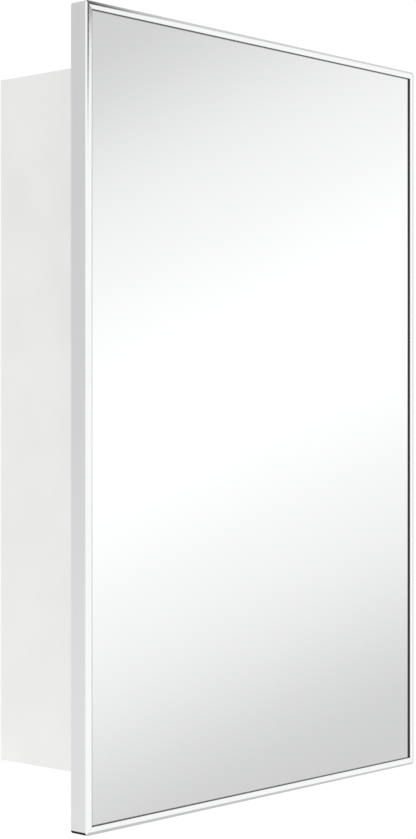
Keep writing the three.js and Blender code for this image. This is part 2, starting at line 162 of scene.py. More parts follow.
class Finish(NodeMaker):
    """A material whose patterns are laid out in metres on the piece itself."""

    def __init__(self, name):
        self.material = bpy.data.materials.new(name)
        self.material.use_nodes = True
        self.material.node_tree.nodes.clear()
        super().__init__(self.material.node_tree)
        self.place = self.node("ShaderNodeTexCoord", output="Object")
        self.x = self.node("ShaderNodeSeparateXYZ", None, {0: self.place})
        self.y = self.x.beside("Y")
        self.z = self.x.beside("Z")

    def scaled(self, size, stretch=(1, 1, 1), shift=0):
        """The place on the piece in units of size millimetres, longer where stretch is more than 1."""
        scale = [1 / (size * MM * s) for s in stretch]
        return self.node("ShaderNodeMapping", None,
                         {"Vector": self.place, "Location": (shift, shift, shift), "Scale": scale})

    def noise(self, size, detail=2, roughness=0.5, stretch=(1, 1, 1), shift=0):
        """Noise with features about size millimetres across."""
        values = {"Vector": self.scaled(size, stretch, shift), "Scale": 1,
                  "Detail": detail, "Roughness": roughness}
        return self.node("ShaderNodeTexNoise", None, values)

    def cells(self, size):
        """How far the middle of the nearest cell is, for cells about size millimetres across."""
        return self.node("ShaderNodeTexVoronoi", {"feature": "F1"},
                         {"Vector": self.scaled(size), "Scale": 1})

    def bump(self, height, depth):
        """Depth is in millimetres, for a height that goes from 0 to 1."""
        return self.node("ShaderNodeBump", None, {"Height": height, "Distance": depth * MM, "Strength": 1})

    def shader(self, **sockets):
        values = {name.replace("_", " "): value for name, value in sockets.items()}
        return self.node("ShaderNodeBsdfPrincipled", None, values)

    def covered(self, shader):
        self.node("ShaderNodeOutputMaterial", None, {"Surface": shader})
        return self.material

    def done(self, **sockets):
        return self.covered(self.shader(**sockets))


def powder_coat():
    """White powder coat with orange peel, and a few faint scuffs."""
    f = Finish("white_powder_coat")
    peel = f.noise(1.1, 2)
    grit = f.noise(0.28, 1, shift=3)
    cloud = f.noise(70, 3, shift=5)
    dull, clean = grey(0.80, (1, 0.995, 0.985)), grey(0.835, (1, 0.997, 0.99))
    colour = f.blend(f.ramp(cloud, 0.3, 0.7), dull, clean)
    scuff = f.ramp(f.noise(1.2, 3, 0.7, stretch=(1, 9, 1), shift=11), 0.66, 0.8)
    colour = f.blend(scuff * 0.10, colour, grey(0.55))
    roughness = 0.33 + peel * 0.09 + cloud * 0.08 + scuff * 0.12
    height = peel * 0.75 + grit * 0.25
    return f.done(Base_Color=colour, Roughness=roughness, Normal=f.bump(height, 0.045), IOR=1.5)


def bright_chrome(name, stretch):
    """Polished plating with faint polishing lines along the member."""
    f = Finish(name)
    lines = f.noise(0.35, 3, 0.6, stretch=stretch)
    haze = f.noise(45, 3, 0.6, shift=2)
    spots = f.ramp(f.cells(9), 0.03, 0.08)
    cool = (0.995, 1, 1.01)
    colour = f.blend(f.ramp(lines, 0.35, 0.65), grey(0.785, cool), grey(0.815, cool))
    roughness = 0.05 + lines * 0.05 + haze * 0.05 + (1 - spots) * 0.05
    return f.done(Base_Color=colour, Metallic=1, Roughness=roughness, Normal=f.bump(lines, 0.0012))


def silvered_glass():
    """The mirror: silver over the front, green ground edges and a grey painted back."""
    f = Finish("silvered_mirror")
    front = nodes["mirror_glass"].data
    face = min(v.co.y for v in front.vertices)
    back = max(v.co.y for v in front.vertices)
    skin = 0.25 * MM
    silver = f.y < face + skin
    painted = f.y > back - skin
    haze = f.noise(60, 3, 0.6)
    dust = f.ramp(f.noise(1.6, 4, 0.7, shift=8), 0.68, 0.78)
    silver_colour = f.blend(haze, grey(0.915, (0.992, 1, 0.998)), grey(0.93, (0.994, 1, 1)))
    edge_colour = f.blend(f.noise(2.5, 3), (0.16, 0.34, 0.28, 1), (0.24, 0.45, 0.38, 1))
    bluish = (1, 1.02, 1.05)
    paint_colour = f.blend(f.noise(14, 4, 0.6), grey(0.20, bluish), grey(0.27, bluish))
    colour = f.blend(painted, f.blend(silver, edge_colour, silver_colour), paint_colour)
    roughness = silver * (0.004 + haze * 0.008 + dust * 0.012) + (1 - silver) * 0.42
    return f.done(Base_Color=colour, Metallic=silver, Roughness=roughness, IOR=1.5)


def clear_glass():
    """Clear over the faces, with ground edges that show the glass's green."""
    f = Finish("clear_shelf_glass")
    low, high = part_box("shelf_lower")
    rim = 0.6 * MM
    ends = abs(f.x) > high.x - rim
    front_edge = f.y < low.y + rim
    back_edge = f.y > high.y - rim
    edge = f.maths("MAXIMUM", ends, f.maths("MAXIMUM", front_edge, back_edge))
    smear = f.noise(38, 4, 0.65, stretch=(1.6, 1, 1))
    colour = f.blend(edge, grey(0.97, (0.975, 1, 0.988)), (0.42, 0.74, 0.62, 1))
    roughness = 0.008 + f.ramp(smear, 0.52, 0.72) * 0.05 + edge * 0.10
    ripple = f.bump(f.noise(30, 1), 0.02)
    clear = f.shader(Base_Color=colour, Roughness=roughness, Transmission_Weight=1.0, IOR=1.52,
                     Normal=ripple)
    depth = f.ramp(f.noise(9, 2, 0.5, stretch=(3, 3, 1)), 0.3, 0.7)
    green = f.blend(depth, (0.30, 0.62, 0.50, 1), (0.40, 0.70, 0.60, 1))
    ground = f.shader(Base_Color=green, Roughness=0.2 + smear * 0.1, IOR=1.52, Normal=ripple)
    ground_share = 0.62
    return f.covered(f.node("ShaderNodeMixShader", None, {0: edge * ground_share, 1: clear, 2: ground}))


def zinc_plate():
    """Zinc plate with a dull bloom, faint lines up the strip and small spangles."""
    f = Finish("bright_zinc_plate")
    brushed = f.noise(0.5, 2, 0.5, stretch=(1, 1, 26))
    bloom = f.noise(11, 4, 0.6, shift=4)
    freckle = f.ramp(f.cells(2.6), 0.08, 0.22)
    dull, clean = grey(0.58, (0.985, 1, 1.02)), grey(0.67, (1, 1, 0.99))
    colour = f.blend(f.ramp(bloom, 0.3, 0.7), dull, clean)
    colour = f.blend((1 - freckle) * 0.25, colour, grey(0.48))
    roughness = 0.27 + bloom * 0.12 + brushed * 0.08 + (1 - freckle) * 0.06
    height = brushed * 0.7 + freckle * 0.3
    return f.done(Base_Color=colour, Metallic=1, Roughness=roughness, Normal=f.bump(height, 0.0022))


def ferrite_and_poles():
    """The magnet: a sintered block between two bright steel pole plates."""
    f = Finish("catch_magnet_ferrite")
    low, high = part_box("catch_magnet")
    middle = (low.x + high.x) / 2
    pole_thick = 1.1 * MM
    pole = abs(f.x - middle) > (high.x - middle) - pole_thick
    grain = f.noise(0.25, 3, 0.7)
    # Small pits: the bump dents them, and the colour paints shade into them.
    shaded_pits = f.ramp(f.cells(0.9), 0.05, 0.2)
    ferrite = f.blend(grain, grey(0.025), grey(0.06, (1, 1, 1.05)))
    steel = f.blend(f.noise(0.25, 3, stretch=(1, 12, 1)), grey(0.42), grey(0.58))
    # The pits are painted near black over the ferrite's grain: painted shade in the pits.
    colour = f.blend(pole, f.blend(shaded_pits, grey(0.012), ferrite), steel)
    roughness = pole * (0.24 + grain * 0.12) + (1 - pole) * (0.55 + grain * 0.2)
    return f.done(Base_Color=colour, Metallic=pole, Roughness=roughness,
                  Normal=f.bump(shaded_pits * 0.6 + grain * 0.4, 0.03))


def moulded_nylon():
    f = Finish("moulded_white_nylon")
    spark = f.noise(0.35, 2)
    flow = f.noise(9, 3, shift=6)
    colour = f.blend(flow, grey(0.72, (1, 0.99, 0.96)), grey(0.79, (1, 0.995, 0.97)))
    roughness = 0.44 + spark * 0.16 + flow * 0.06
    return f.done(Base_Color=colour, Roughness=roughness, Normal=f.bump(spark, 0.03), IOR=1.5)


def soft_rubber():
    f = Finish("soft_grey_rubber")
    bloom = f.noise(2.2, 4, 0.7)
    skin = f.noise(0.2, 2, shift=1)
    colour = f.blend(bloom, grey(0.46, (1, 1, 0.98)), grey(0.58, (1, 1, 0.98)))
    roughness = 0.55 + bloom * 0.2
    return f.done(Base_Color=colour, Roughness=roughness, Normal=f.bump(skin, 0.02), IOR=1.5)


def black_bead():
    f = Finish("black_glazing_bead")
    skin = f.noise(0.3, 2)
    dust = f.ramp(f.noise(4, 4, 0.7), 0.55, 0.8)
    colour = f.blend(dust * 0.25, grey(0.008), grey(0.045))
    roughness = 0.20 + skin * 0.08 + dust * 0.12
    return f.done(Base_Color=colour, Roughness=roughness, Normal=f.bump(skin, 0.006), IOR=1.5)


def pressed_fibreboard():
    f = Finish("pressed_fibreboard")
    fibre = f.noise(0.9, 5, 0.75, stretch=(3, 1, 1))
    patch = f.noise(20, 3)
    colour = f.blend(fibre, (0.16, 0.10, 0.055, 1), (0.34, 0.24, 0.15, 1))
    roughness = 0.75 + patch * 0.2
    return f.done(Base_Color=colour, Roughness=roughness, Normal=f.bump(fibre, 0.12), IOR=1.45)


WHITE = powder_coat()
CHROME_UPRIGHT = bright_chrome("bright_chrome_upright", (1, 1, 240))
CHROME_LEVEL = bright_chrome("bright_chrome_level", (240, 1, 1))
MIRROR = silvered_glass()
GLASS = clear_glass()
ZINC = zinc_plate()
MAGNET = ferrite_and_poles()
NYLON = moulded_nylon()
RUBBER = soft_rubber()
BEAD = black_bead()
BOARD = pressed_fibreboard()


# ---- making pieces ----

def plain_mesh(piece):
    """Turns what the modifiers make into the piece's own mesh and takes them off."""
    shape = bpy.data.meshes.new_from_object(piece.evaluated_get(bpy.context.evaluated_depsgraph_get()))
    piece.modifiers.clear()
    piece.data = shape


def shade(piece, crease):
    """Smooth, but sharp where two faces meet at more than crease degrees."""
    piece.data.shade_smooth()
    piece.data.set_sharp_from_angle(angle=math.radians(crease))


def settle(piece, finish, replaced, crease=32):
    """Gives a finished piece its shading, its finish, its body and the nodes it stands for."""
    shade(piece, crease)
    flats = piece.modifiers.new("flat_faces_first", "WEIGHTED_NORMAL")
    flats.weight = 100
    flats.keep_sharp = True
    plain_mesh(piece)
    piece.data.materials.clear()
    piece.data.materials.append(finish)
    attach(piece, nodes[replaced[0]]["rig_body"])
    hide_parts(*replaced)
    return piece


def skin_rings(shape, rows):
    """Faces from each closed ring of vertices to the next."""
    for a, b in zip(rows, rows[1:]):
        for i in range(len(a)):
            j = (i + 1) % len(a)
            shape.faces.new((a[i], a[j], b[j], b[i]))


def new_piece(name, shape):
    """An object from a bmesh, with its faces turned outwards."""
    bmesh.ops.recalc_face_normals(shape, faces=shape.faces)
    return as_piece(name, shape)


def as_piece(name, shape):
    mesh = bpy.data.meshes.new(name)
    shape.to_mesh(mesh)
    shape.free()
    piece = bpy.data.objects.new(name, mesh)
    scene.collection.objects.link(piece)
    return piece


def on_line(edge, axis, place, reach=0.02 * MM):
    """True for an edge that runs along axis (0, 1 or 2), with its other two coordinates at place."""
    across = [i for i in range(3) if i != axis]
    return all(abs(v.co[i] - p) < reach for v in edge.verts for i, p in zip(across, place))


def ease_edges(piece, width, segments=2):
    rounding = piece.modifiers.new("eased", "BEVEL")
    rounding.width = width
    rounding.segments = segments
    rounding.limit_method = "ANGLE"
    rounding.angle_limit = math.radians(40)
    return rounding


def eased(name, node, finish, ease, folds=(), segments=2):
    """A copy of a CAD node, with its folds rounded to their own radii and all other edges eased."""
    shape = bmesh.new()
    shape.from_mesh(nodes[node].data)
    bmesh.ops.remove_doubles(shape, verts=shape.verts, dist=0.002 * MM)
    bmesh.ops.dissolve_limit(shape, angle_limit=math.radians(1), verts=shape.verts, edges=shape.edges)
    for axis, place, radius in folds:
        bent = [e for e in shape.edges if on_line(e, axis, place)]
        bmesh.ops.bevel(shape, geom=bent, offset=radius, segments=5, profile=0.5, affect="EDGES",
                        clamp_overlap=True)
    piece = new_piece(name, shape)
    ease_edges(piece, ease, segments).miter_outer = "MITER_ARC"
    plain_mesh(piece)
    settle(piece, finish, [node])


# ---- shapes that repeat, grown by geometry nodes ----

class Grower(NodeMaker):
    """A geometry tree with named inputs, and a Finish input for its material."""

    def __init__(self, name, **sizes):
        tree = bpy.data.node_groups.new(name, "GeometryNodeTree")
        super().__init__(tree)
        kinds = {int: "NodeSocketInt", float: "NodeSocketFloat", tuple: "NodeSocketVector"}
        for label, value in sizes.items():
            item = tree.interface.new_socket(label, in_out="INPUT", socket_type=kinds[type(value)])
            item.default_value = value
        tree.interface.new_socket("finish", in_out="INPUT", socket_type="NodeSocketMaterial")
        tree.interface.new_socket("Geometry", in_out="OUTPUT", socket_type="NodeSocketGeometry")
        self.inputs = self.node("NodeGroupInput")

    def size(self, label):
        return self.inputs.beside(label)

    def index(self):
        """The number of a ring or a point, from 0."""
        return self.node("GeometryNodeInputIndex")

    def join(self, *parts):
        made = self.node("GeometryNodeJoinGeometry")
        for part in reversed(parts):
            self.tree.links.new(part.output, made.output.node.inputs[0])
        return made

    def moved(self, part, offset=(0, 0, 0), turn=(0, 0, 0), scale=(1, 1, 1)):
        return self.node("GeometryNodeTransform", None,
                         {"Geometry": part, "Translation": offset, "Rotation": turn, "Scale": scale})

    def circle(self, radius, sides):
        return self.node("GeometryNodeCurvePrimitiveCircle", {"mode": "RADIUS"},
                         {"Resolution": sides, "Radius": radius})

    def rounded(self, curve, count, radius):
        return self.node("GeometryNodeFilletCurve", {"mode": "POLY"},
                         {"Curve": curve, "Count": count, "Radius": radius, "Limit Radius": True})

    def rounded_bar(self, width, height, length, ease):
        """A bar along Z from 0 to length, with a rounded rectangular section."""
        outline = self.node("GeometryNodeCurvePrimitiveQuadrilateral", None,
                            {"Width": width, "Height": height})
        outline = self.rounded(outline, 3, ease)
        path = self.node("GeometryNodeCurvePrimitiveLine", None,
                         {"Start": (0, 0, 0), "End": self.vector(z=length)})
        return self.node("GeometryNodeCurveToMesh", None,
                         {"Curve": path, "Profile Curve": outline, "Fill Caps": True})

    def turned(self, count, sides, height, radius):
        """A turned shape along Z. Height and radius are formulas on the index of count rings."""
        path = self.node("GeometryNodeCurvePrimitiveLine", None, {"End": (0, 0, MM)})
        path = self.node("GeometryNodeResampleCurve", None, {"Curve": path, "Count": count})
        path = self.node("GeometryNodeSetPosition", None,
                         {"Geometry": path, "Position": self.vector(z=height)})
        return self.node("GeometryNodeCurveToMesh", None,
                         {"Curve": path, "Profile Curve": self.circle(1, sides), "Scale": radius,
                          "Fill Caps": True})

    def cut(self, part, *tools):
        made = self.node("GeometryNodeMeshBoolean", {"operation": "DIFFERENCE", "solver": "EXACT"},
                         {0: part})
        for tool in tools:
            self.tree.links.new(tool.output, made.output.node.inputs[1])
        return made

    def fused(self, *parts):
        made = self.node("GeometryNodeMeshBoolean", {"operation": "UNION", "solver": "EXACT"})
        for part in parts:
            self.tree.links.new(part.output, made.output.node.inputs[1])
        return made

    def row(self, part, count, first, step):
        points = self.node("GeometryNodeMeshLine", None,
                           {"Count": count, "Start Location": first, "Offset": step})
        placed = self.node("GeometryNodeInstanceOnPoints", None, {"Points": points, "Instance": part})
        return self.node("GeometryNodeRealizeInstances", None, {"Geometry": placed})

    def end(self, part):
        real = self.node("GeometryNodeRealizeInstances", None, {"Geometry": part})
        dressed = self.node("GeometryNodeSetMaterial", None,
                            {"Geometry": real, "Material": self.size("finish")})
        way_out = self.tree.nodes.new("NodeGroupOutput")
        self.tree.links.new(dressed.output, way_out.inputs[0])
        return self.tree


def grow(name, tree, finish, replaced, **sizes):
    """Runs a tree with these sizes and keeps its result as a plain piece."""
    piece = bpy.data.objects.new(name, bpy.data.meshes.new(name))
    shape = piece.modifiers.new("grown", "NODES")
    shape.node_group = tree
    values = {**sizes, "finish": finish}
    for item in tree.interface.items_tree:
        if item.in_out == "INPUT" and item.name in values:
            shape[item.identifier] = values[item.name]
    scene.collection.objects.link(piece)
    plain_mesh(piece)
    return settle(piece, finish, replaced)


HEAD_HEIGHT = 0.9 * MM


def screw_tree():
    """Pan-head screws with a cross recess and a thread, in a row. Their heads rise along -Y."""
    g = Grower("pan_head_screws", count=5, first=(0.0, 0.0, 0.0), step=(0.0, 0.0, 0.12),
               turn=(0.0, 0.0, 0.0), head_radius=3.2 * MM, head_height=HEAD_HEIGHT,
               shank_radius=1.45 * MM, length=6 * MM, recess=3.4 * MM)
    rings = 9
    last_ring = math.pi / 2 * 0.985  # just short of the pole, so that no ring closes to a point
    flatness = 0.42
    angle = g.index() * (last_ring / (rings - 1))
    dome_height = g.maths("SINE", angle) * g.size("head_height")
    dome_radius = g.maths("COSINE", angle) ** flatness * g.size("head_radius")
    head = g.turned(rings, 28, dome_height, dome_radius)
    slot_wide, slot_turn = 0.62 * MM, 0.4
    slot_size = g.vector(g.size("recess"), slot_wide, g.size("head_height") * 1.3)
    bar = g.node("GeometryNodeMeshCube", None, {"Size": slot_size})
    lift = g.vector(z=g.size("head_height") * 1.05)
    bars = [g.moved(bar, lift, (0, 0, turn)) for turn in (slot_turn, slot_turn + math.pi / 2)]
    head = g.cut(head, *bars)
    tip = g.index() > 2.5
    body = g.index() * g.size("length") * (-1 / 3.0)
    shank = g.turned(4, 16, body, g.size("shank_radius") * (0.86 - tip * 0.5))
    turns, ridge = 6, 0.22 * MM
    thread = g.node("GeometryNodeCurveSpiral", None,
                    {"Resolution": 14, "Rotations": turns, "Start Radius": g.size("shank_radius") * 0.92,
                     "End Radius": g.size("shank_radius") * 0.8, "Height": g.size("length") * 0.72})
    thread = g.node("GeometryNodeCurveToMesh", None,
                    {"Curve": thread, "Profile Curve": g.circle(ridge, 3), "Fill Caps": True})
    thread = g.moved(thread, g.vector(z=g.size("length") * -0.86))
    screw = g.moved(g.join(head, shank, thread), turn=(math.pi / 2, 0, 0))
    screw = g.moved(screw, turn=g.size("turn"))
    return g.end(g.row(screw, g.size("count"), g.size("first"), g.size("step")))


KNUCKLE_PITCH = 50 * MM  # from one knuckle of a leaf to its next, with the other leaf's between
KNUCKLE_GAP = 0.4 * MM


def hinge_leaf_tree():
    """A leaf with every second knuckle rolled from it. The pin is at X 0, Y 0, the strip on its left."""
    g = Grower("hinge_leaf", knuckles=11, first=0.0, pitch=KNUCKLE_PITCH, gap=KNUCKLE_GAP,
               knuckle=2.2 * MM, bore=1.11 * MM, thick=0.9 * MM, width=20 * MM, relief=0.4 * MM,
               long=0.525, side=1.0)
    half_thick = g.size("thick") * 0.5
    strip_edge = (g.size("knuckle") + g.size("relief")) * -1
    strip_width = g.size("width") + strip_edge
    strip_y = g.size("side") * (g.size("knuckle") - half_thick)
    strip_x = strip_edge - strip_width * 0.5
    strip = g.rounded_bar(strip_width, g.size("thick"), g.size("long"), 0.25 * MM)
    strip = g.moved(strip, g.vector(strip_x, strip_y, g.size("long") * -0.5))
    tall = g.size("pitch") * 0.5 - g.size("gap")
    ease = 0.18 * MM
    past_first = g.index() > 0.5
    past_middle = g.index() > 1.5
    past_third = g.index() > 2.5
    heights = past_first * ease + past_middle * (tall - 2 * ease) + past_third * ease
    radii = g.size("knuckle") - ease * (1 - past_first) - ease * past_third
    barrel = g.turned(4, 28, heights, radii)
    tongue_reach = g.size("relief") + g.size("knuckle") + 0.3 * MM
    tongue_size = g.vector(tongue_reach, g.size("thick") * 0.995, tall)
    tongue = g.node("GeometryNodeMeshCube", None, {"Size": tongue_size})
    tongue = g.moved(tongue, g.vector(tongue_reach * -0.5, strip_y, tall * 0.5))
    bore = g.node("GeometryNodeMeshCylinder", None, {"Vertices": 24, "Radius": g.size("bore"), "Depth": 1})
    bore = bore.beside("Mesh")
    seam_wide = 0.22 * MM
    seam = g.node("GeometryNodeMeshCube", None, {"Size": g.vector(g.size("knuckle") * 1.1, seam_wide, 1)})
    seam = g.moved(seam, g.vector(g.size("knuckle") * -0.75, g.size("side") * (g.size("knuckle") * 0.42)))
    knuckle = g.cut(g.fused(barrel, tongue), bore, seam)
    first = g.vector(z=g.size("first"))
    knuckles = g.row(knuckle, g.size("knuckles"), first, g.vector(z=g.size("pitch")))
    return g.end(g.join(strip, knuckles))


def pin_tree():
    """A rod along Z with both its ends rounded over."""
    g = Grower("hinge_pin", long=0.529, radius=1.05 * MM, dome=0.6 * MM)
    rings = 12
    half = (rings - 1) / 2
    away = abs(g.index() - half) / half
    last_ring = math.pi / 2 * 0.98
    rise = g.maths("MAXIMUM", (away - 0.25) * (4 / 3 * math.pi / 2), 0)
    angle = g.maths("MINIMUM", rise, last_ring)
    radius = g.size("radius") * g.maths("COSINE", angle) ** 0.6
    side = (g.index() > half) * 2 - 1
    height = side * (g.size("long") * 0.5 - g.size("dome") + g.size("dome") * g.maths("SINE", angle))
    return g.end(g.turned(rings, 20, height, radius))


def standard_tree():
    """A slotted channel that stands on the side panel, its face towards +X."""
    g = Grower("shelf_standard", long=0.475, width=12 * MM, deep=2.9 * MM, wall=0.8 * MM, slots=19,
               pitch=25 * MM, slot_width=3.2 * MM, slot_height=8 * MM, turn=0.0, place=(0.0, 0.0, 0.0))
    outer = g.rounded_bar(g.size("deep") * 2, g.size("width"), g.size("long"), 0.7 * MM)
    inner_deep = (g.size("deep") - g.size("wall")) * 2
    inner_width = g.size("width") - g.size("wall") * 2
    inner = g.rounded_bar(inner_deep, inner_width, g.size("long") * 2, 0.3 * MM)
    low = g.size("long") * -0.5
    outer = g.moved(outer, g.vector(z=low))
    inner = g.moved(inner, g.vector(z=low * 2))
    through = 20 * MM
    behind = g.node("GeometryNodeMeshCube", None, {"Size": (through, 2 * through, 2)})
    behind = g.moved(behind, (-through / 2, 0, 0))
    hole = g.rounded_bar(g.size("slot_width"), g.size("slot_height"), through, g.size("slot_width") * 0.45)
    hole = g.moved(hole, (-through / 2, 0, 0), (math.pi / 2, 0, math.pi / 2))
    hole = g.moved(hole, g.vector(g.size("deep")))
    first = g.vector(z=g.size("pitch") * (g.size("slots") - 1) * -0.5)
    holes = g.row(hole, g.size("slots"), first, g.vector(z=g.size("pitch")))
    strip = g.cut(outer, inner, behind, holes)
    strip = g.moved(strip, g.size("place"), g.vector(z=g.size("turn")))
    return g.end(strip)


HOOK_DEEP = 2 * MM


def clip_tree():
    """A folded clip. Its back face is at X 0, it reaches along +X, and the glass rests on Z 0."""
    g = Grower("shelf_clip", reach=12 * MM, tall=12 * MM, width=10 * MM, thick=1.2 * MM, bend=1.5 * MM,
               hook_width=2.6 * MM, hook_tall=6 * MM, hook_foot=-12.9 * MM, turn=0.0, place=(0.0, 0.0, 0.0))
    middle = g.size("thick") * 0.5
    line = g.node("GeometryNodeMeshLine", None, {"Count": 3, "Offset": (0, 0, MM)})
    last = g.index() > 1.5
    first = g.index() < 0.5
    x = middle + last * (g.size("reach") - middle)
    z = middle * -1 - first * (g.size("tall") - middle)
    line = g.node("GeometryNodeSetPosition", None, {"Geometry": line, "Position": g.vector(x, 0, z)})
    path = g.node("GeometryNodeMeshToCurve", None, {"Mesh": line})
    path = g.rounded(path, 6, g.size("bend"))
    outline = g.node("GeometryNodeCurvePrimitiveQuadrilateral", None,
                     {"Width": g.size("thick"), "Height": g.size("width")})
    outline = g.rounded(outline, 2, 0.25 * MM)
    strap = g.node("GeometryNodeCurveToMesh", None,
                   {"Curve": path, "Profile Curve": outline, "Fill Caps": True})
    hook_long = HOOK_DEEP + g.size("thick") * 0.5
    hook = g.rounded_bar(hook_long, g.size("hook_width"), g.size("hook_tall"), 0.3 * MM)
    hook = g.moved(hook, g.vector(g.size("thick") * 0.25 - HOOK_DEEP * 0.5, 0, g.size("hook_foot")))
    whole = g.fused(strap, hook)
    return g.end(g.moved(whole, g.size("place"), g.vector(z=g.size("turn"))))


def bumper_tree():
    """A moulded button with a domed end towards -Y and a small foot flange."""
    g = Grower("door_bumper", radius=4 * MM, tall=4.4 * MM, foot=0.9 * MM, place=(0.0, 0.0, 0.0))
    rings = 12
    dome_rings = 8
    last_ring = math.pi / 2 * 0.97
    step = g.index() - (rings - dome_rings)
    angle = g.maths("MAXIMUM", step, 0) * (last_ring / (dome_rings - 1))
    in_dome = g.index() > rings - dome_rings - 0.5
    dome = 1.5 * MM
    waist = g.size("radius") * 0.9
    dome_height = g.size("tall") - dome + dome * g.maths("SINE", angle)
    dome_radius = waist * g.maths("COSINE", angle) ** 0.5
    in_foot = g.index() < 1.5
    foot_height = (g.index() > 0.5) * g.size("foot")
    neck_height = g.size("foot") * 1.05 + (g.index() > 2.5) * 0.5 * MM
    base_height = in_foot * foot_height + (1 - in_foot) * neck_height
    base_radius = in_foot * g.size("radius") + (1 - in_foot) * waist
    height = in_dome * dome_height + (1 - in_dome) * base_height
    radius = in_dome * dome_radius + (1 - in_dome) * base_radius
    button = g.moved(g.turned(rings, 32, height, radius), turn=(math.pi / 2, 0, 0))
    return g.end(g.moved(button, g.size("place")))


# ---- door frame ----

def arc(centre, radius, start, stop, steps=6):
    """Points on a circle from one angle to another, in degrees."""
    angles = [math.radians(start + (stop - start) * i / steps) for i in range(steps + 1)]
    return [(centre[0] + radius * math.cos(a), centre[1] + radius * math.sin(a)) for a in angles]


# Sizes of the channel's section, in millimetres.
FRAME_DEEP = 16.0
FACE = 6.1
LIP_DEEP = 1.4
WALL = 1.2
RETURN = 8.0
OUTER_EDGE = 0.15
INNER_ROUND = 0.3
BACK_ROUND = 0.3
LIP_ROUND = 0.6
CORNER_ROUND = 2.8
MITRE_SEAM = 0.04
# The face falls back from its inner edge to its outer one: how far in, and the slope there in degrees.
FACE_FALLS = ((0.25, 14), (1.45, 12), (3.0, 4), (FACE - INNER_ROUND * 1.06, 3.5))
GROOVE_PLACE = 25.4
GROOVE_SHAPE = ((-0.7, 0), (-0.35, 0.02), (0, 0.07), (0.35, 0.02), (0.7, 0))  # along the stile, and deep


def frame_section():
    """The channel's section in millimetres: u runs inward from the door's edge, v back from its front."""
    inner = arc((FACE - INNER_ROUND, INNER_ROUND), INNER_ROUND, 270 - FACE_FALLS[-1][1], 360, 6)
    u, depth = inner[0]
    face = []
    steps = 6
    falls = FACE_FALLS[::-1]
    for (inner_u, inner_fall), (outer_u, outer_fall) in zip(falls, falls[1:]):
        for i in range(steps):
            fall = inner_fall + (outer_fall - inner_fall) * (i + 0.5) / steps
            step = (inner_u - outer_u) / steps
            u -= step
            depth += step * math.tan(math.radians(fall))
            face.append((u, depth))
    last_fall = math.radians(FACE_FALLS[0][1])
    edge = u / (1 - math.sin(last_fall))
    outer_middle = (edge, depth + edge * math.cos(last_fall))
    outer = arc(outer_middle, edge, 180, 270 - FACE_FALLS[0][1], 7)[:-1]
    inside = [(FACE, LIP_DEEP), (WALL, LIP_DEEP), (WALL, FRAME_DEEP - WALL)]
    lip = arc((RETURN - LIP_ROUND, FRAME_DEEP - LIP_ROUND), LIP_ROUND, -90, 90, 8)
    back = arc((BACK_ROUND, FRAME_DEEP - BACK_ROUND), BACK_ROUND, 90, 180, 5)
    return outer + face[::-1] + inner + inside + lip + back


HALF_CORNER = math.radians(45)


def member_rings(length, groove):
    """Each ring: the end it is counted from, how far in, the least u at a corner, and a groove's depth."""
    r = CORNER_ROUND
    near = []
    steps = 6
    for i in range(steps + 1):
        angle = HALF_CORNER * (1 - i / steps)
        near.append((r * (math.sin(HALF_CORNER) - math.sin(angle)), r * (1 - math.cos(angle)), 0.0))
    rings = [("start", *ring) for ring in near]
    if groove:
        for shift, deep in GROOVE_SHAPE:
            rings.append(("start", groove + shift, 0.0, deep))
    rings.append(("start", length / 2, 0.0, 0.0))
    return rings + [("end", *ring) for ring in reversed(near)]


def frame_member(name, node, corner, inward, along, length, finish, groove):
    """A mitred length of channel. The corner is on the door's front, in metres."""
    section = frame_section()
    least = CORNER_ROUND * (1 - math.sin(HALF_CORNER))
    shape = bmesh.new()
    rows = []
    for end, shift, rounding, deep in member_rings(length, groove):
        row = []
        for u, v in section:
            mitre = max(u, least) + shift + MITRE_SEAM if shift < CORNER_ROUND else shift
            inset = max(u, rounding)
            if deep and u < OUTER_EDGE:
                inset += deep
            t = mitre if end == "start" else length - mitre
            row.append(shape.verts.new(corner + (inward * inset + along * t + Vector((0, v, 0))) * MM))
        rows.append(row)
    skin_rings(shape, rows)
    shape.faces.new(rows[0])
    shape.faces.new(rows[-1])
    settle(new_piece(name, shape), finish, [node], 30)


def make_door_frame():
    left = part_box("stile_left")[0].x
    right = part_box("stile_right")[1].x
    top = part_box("rail_top")[1].z
    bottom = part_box("rail_bottom")[0].z
    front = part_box("stile_left")[0].y
    wide, tall = (right - left) / MM, (top - bottom) / MM
    across, up = Vector((1, 0, 0)), Vector((0, 0, 1))
    members = (
        ("stile_left", (left, bottom), across, up, tall, CHROME_UPRIGHT, GROOVE_PLACE),
        ("stile_right", (right, top), -across, -up, tall, CHROME_UPRIGHT, 0.0),
        ("rail_top", (left, top), -up, across, wide, CHROME_LEVEL, 0.0),
        ("rail_bottom", (right, bottom), up, -across, wide, CHROME_LEVEL, 0.0),
    )
    for node, (x, z), inward, along, length, finish, groove in members:
        corner = Vector((x, front, z))
        frame_member(f"{node}_channel", node, corner, inward, along, length, finish, groove)


# ---- door back ----

def rounded_ring(half_x, half_z, centre_z, radius, y, per_corner=10, side_points=3):
    """Points round an upright rectangle with rounded corners, always as many, in metres."""
    points = []
    corners = ((1, 1, 0), (-1, 1, 90), (-1, -1, 180), (1, -1, 270))
    for sx, sz, start in corners:
        cx, cz = sx * (half_x - radius), sz * (half_z - radius)
        for x, z in arc((cx, cz), radius, start, start + 90, per_corner):
            points.append(Vector((x, y, centre_z + z)))
    filled = []
    for i, point in enumerate(points):
        filled.append(point)
        if (i + 1) % (per_corner + 1) == 0:
            following = points[(i + 1) % len(points)]
            for k in range(1, side_points + 1):
                filled.append(point.lerp(following, k / (side_points + 1)))
    return filled


PAN_SHEET = 0.8 * MM
PAN_FIELD = (135 * MM, 235 * MM)
PAN_SLOPE = 9 * MM
PAN_CORNER = 14 * MM


